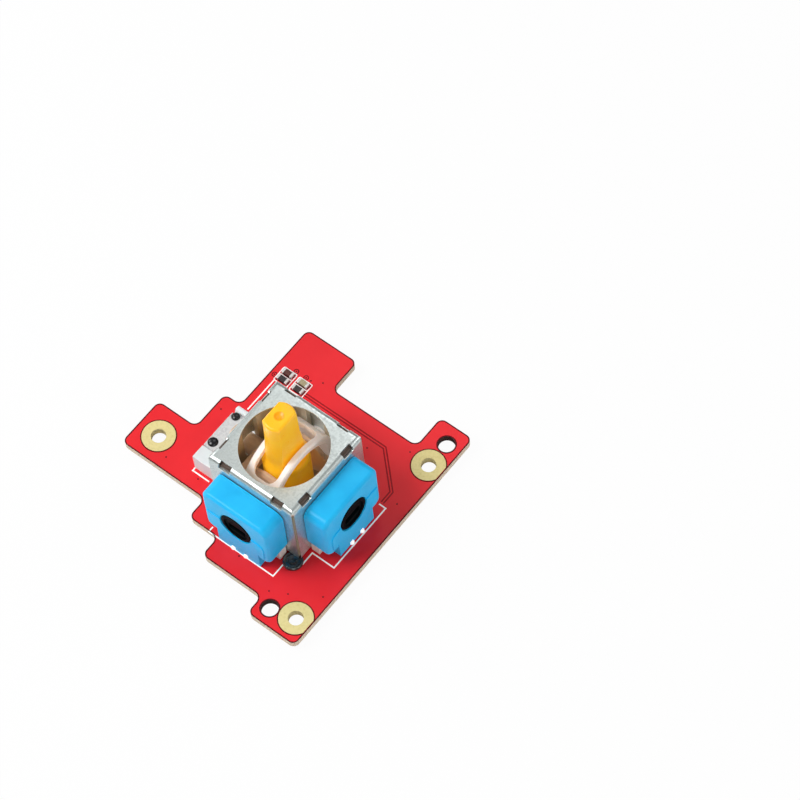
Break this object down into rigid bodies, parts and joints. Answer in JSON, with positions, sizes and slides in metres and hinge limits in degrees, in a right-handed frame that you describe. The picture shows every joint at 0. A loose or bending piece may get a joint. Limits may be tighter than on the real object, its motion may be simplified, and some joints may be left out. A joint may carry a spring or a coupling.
{
  "type": "controller analog stick",
  "caption": "Two-axis analog stick of a game controller: a metal cube with two side sensors and a push switch, soldered on its own small red circuit board.",
  "frame": {"origin": "under the middle of the board, level with the lowest soldered tails", "axes": "+Z from the board up along the stick at rest; +X towards the board's straight long side, where two screw holes are; +Y towards the board's two upper tabs"},
  "size_m": [0.0354, 0.0358, 0.0218],
  "materials": {
    "solder_mask": "glossy red solder mask on fibreglass",
    "gold_plate": "pale gold plating",
    "chip_ceramic": "ceramic chip body with tinned ends",
    "housing_plastic": "moulded",
    "cover_steel": "bright plated sheet",
    "lower_yoke_plastic": "moulded acetal",
    "upper_yoke_plastic": "translucent moulded acetal",
    "stem_plastic": "yellow moulded acetal",
    "spring_steel": "bright wire",
    "switch_plastic": "moulded",
    "switch_steel": "thin bright sheet",
    "tinned_strip": "tinned",
    "solder": "dull solder",
    "white_plastic": "moulded",
    "element_laminate": "printed resistive laminate",
    "wiper_metal": "spring bronze",
    "rotor_plastic": "moulded",
    "sensor_plastic": "moulded light blue"
  },
  "bodies": {
    "root": {"circuit_board": "solder_mask", "screw_pad_left": "gold_plate", "screw_pad_right": "gold_plate", "screw_pad_lower": "gold_plate", "chip_1": "chip_ceramic", "chip_2": "chip_ceramic", "chip_3": "chip_ceramic", "chip_4": "chip_ceramic", "base_housing": "housing_plastic", "top_cover": "cover_steel", "switch_body": "switch_plastic", "switch_dome": "spring_steel", "switch_plate": "switch_steel", "switch_terminals": "tinned_strip", "solder_disc": "solder", "solder_joints": "solder", "x_sensor_back_plate": "white_plastic", "x_sensor_element": "element_laminate", "x_sensor_housing": "sensor_plastic", "x_sensor_terminals": "tinned_strip", "y_sensor_back_plate": "white_plastic", "y_sensor_element": "element_laminate", "y_sensor_housing": "sensor_plastic", "y_sensor_terminals": "tinned_strip"},
    "x_rotor": {"x_sensor_rotor": "rotor_plastic", "x_sensor_wiper": "wiper_metal"},
    "lower_yoke": {"lower_yoke": "lower_yoke_plastic"},
    "stem": {"stem": "stem_plastic", "return_spring": "spring_steel"},
    "foot": {"spring_foot": "upper_yoke_plastic"},
    "upper_yoke": {"upper_yoke": "upper_yoke_plastic", "y_sensor_rotor": "rotor_plastic", "y_sensor_wiper": "wiper_metal"},
    "plunger": {"switch_plunger": "switch_plastic"}
  },
  "joints": [
    {"name": "x_tilt", "type": "hinge", "parent": "root", "child": "x_rotor", "pos_m": [0.00428, -0.00162, 0.00805], "axis": [1, 0, 0], "range_deg": [-18, 18], "stiffness_Nm_per_rad": 0.04},
    {"name": "press", "type": "hinge", "parent": "x_rotor", "child": "lower_yoke", "pos_m": [0.01257, -0.00162, 0.00805], "axis": [0, -1, 0], "range_deg": [0, 0.86], "stiffness_Nm_per_rad": 4},
    {"name": "y_tilt", "type": "hinge", "parent": "lower_yoke", "child": "stem", "pos_m": [0.00428, -0.00162, 0.00805], "axis": [0, 1, 0], "range_deg": [-18, 18], "stiffness_Nm_per_rad": 0.04},
    {"name": "foot_slide", "type": "slide", "parent": "stem", "child": "foot", "axis": [0, 0, 1], "range_m": [0, 0.00013]},
    {"name": "upper_yoke_tilt", "type": "hinge", "parent": "root", "child": "upper_yoke", "pos_m": [0.00428, -0.00162, 0.00805], "axis": [0, 1, 0], "range_deg": [-18, 18]},
    {"name": "plunger_slide", "type": "slide", "parent": "root", "child": "plunger", "axis": [0, 0, -1], "range_m": [0, 0.00025]}
  ],
  "couplings": [
    {"joint": "upper_yoke_tilt", "follows": "y_tilt", "ratio": 1},
    {"joint": "foot_slide", "follows": "press", "m_per_rad": 0.0083},
    {"joint": "plunger_slide", "follows": "press", "m_per_rad": 0.0166}
  ]
}
